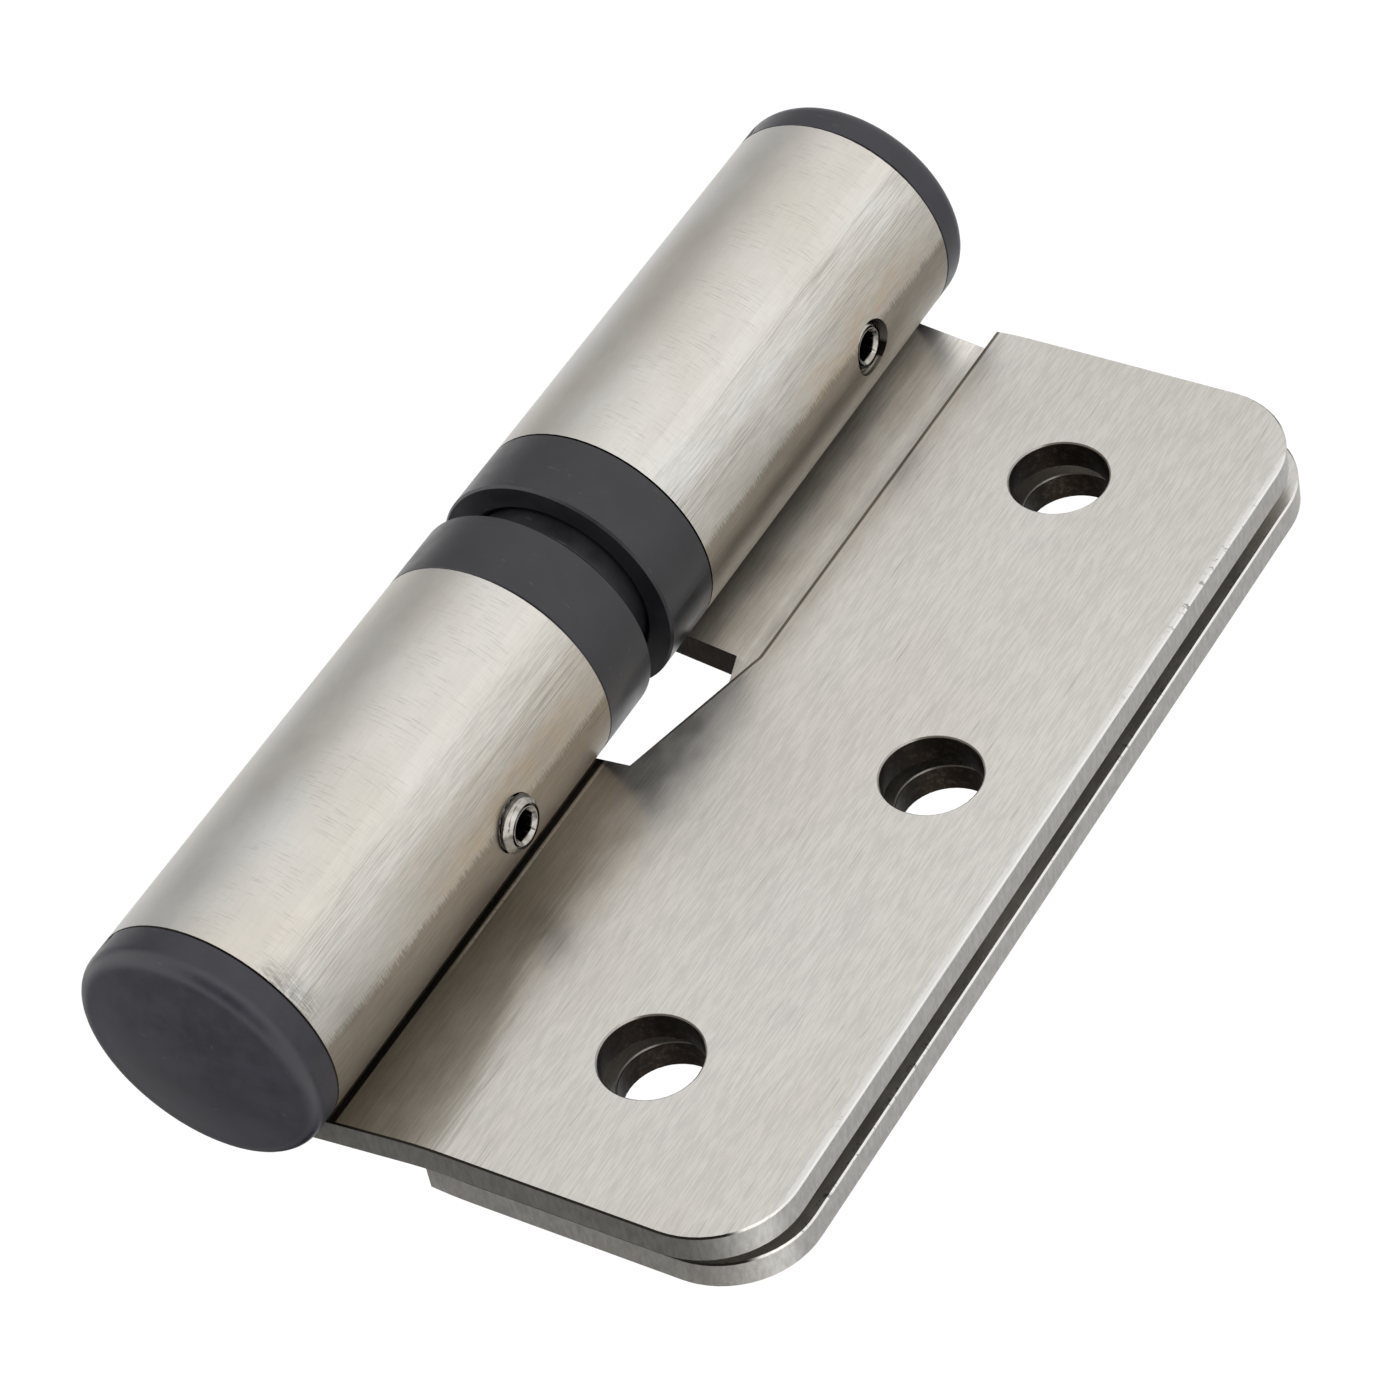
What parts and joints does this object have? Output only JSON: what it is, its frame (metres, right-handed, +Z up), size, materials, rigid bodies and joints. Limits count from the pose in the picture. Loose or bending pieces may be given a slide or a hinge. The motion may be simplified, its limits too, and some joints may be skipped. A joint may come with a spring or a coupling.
{
  "type": "cubicle door hinge",
  "caption": "Rising barrel hinge for a partition door, with two joggled sheet leaves, helical cam bushes and domed end caps.",
  "frame": {"origin": "on the back of the frame leaf, midway between its two outer fixing holes", "axes": "+Z up along the hinge axis, +Y out of the back of the frame leaf, +X from the leaves towards the barrel"},
  "size_m": [0.0584, 0.0251, 0.1099],
  "materials": {
    "stainless_sheet": "brushed along the barrel",
    "black_nylon": "satin moulded",
    "screw_steel": "bright",
    "pin_steel": "ground"
  },
  "bodies": {
    "frame": {"frame_leaf": "stainless_sheet", "lower_cam_bush": "black_nylon", "lower_grub_screw": "screw_steel", "bottom_cap": "black_nylon"},
    "pin": {"hinge_pin": "pin_steel"},
    "door": {"door_leaf": "stainless_sheet", "upper_cam_bush": "black_nylon", "upper_grub_screw": "screw_steel", "top_cap": "black_nylon"}
  },
  "joints": [
    {"name": "swing", "type": "hinge", "parent": "frame", "child": "pin", "pos_m": [0.03, -0.01397, 0], "axis": [0, 0, 1], "range_deg": [0, 110]},
    {"name": "rise", "type": "slide", "parent": "pin", "child": "door", "axis": [0, 0, 1], "range_m": [0, 0.0046]}
  ],
  "couplings": [
    {"joint": "rise", "follows": "swing", "m_per_rad": 0.0023873}
  ]
}
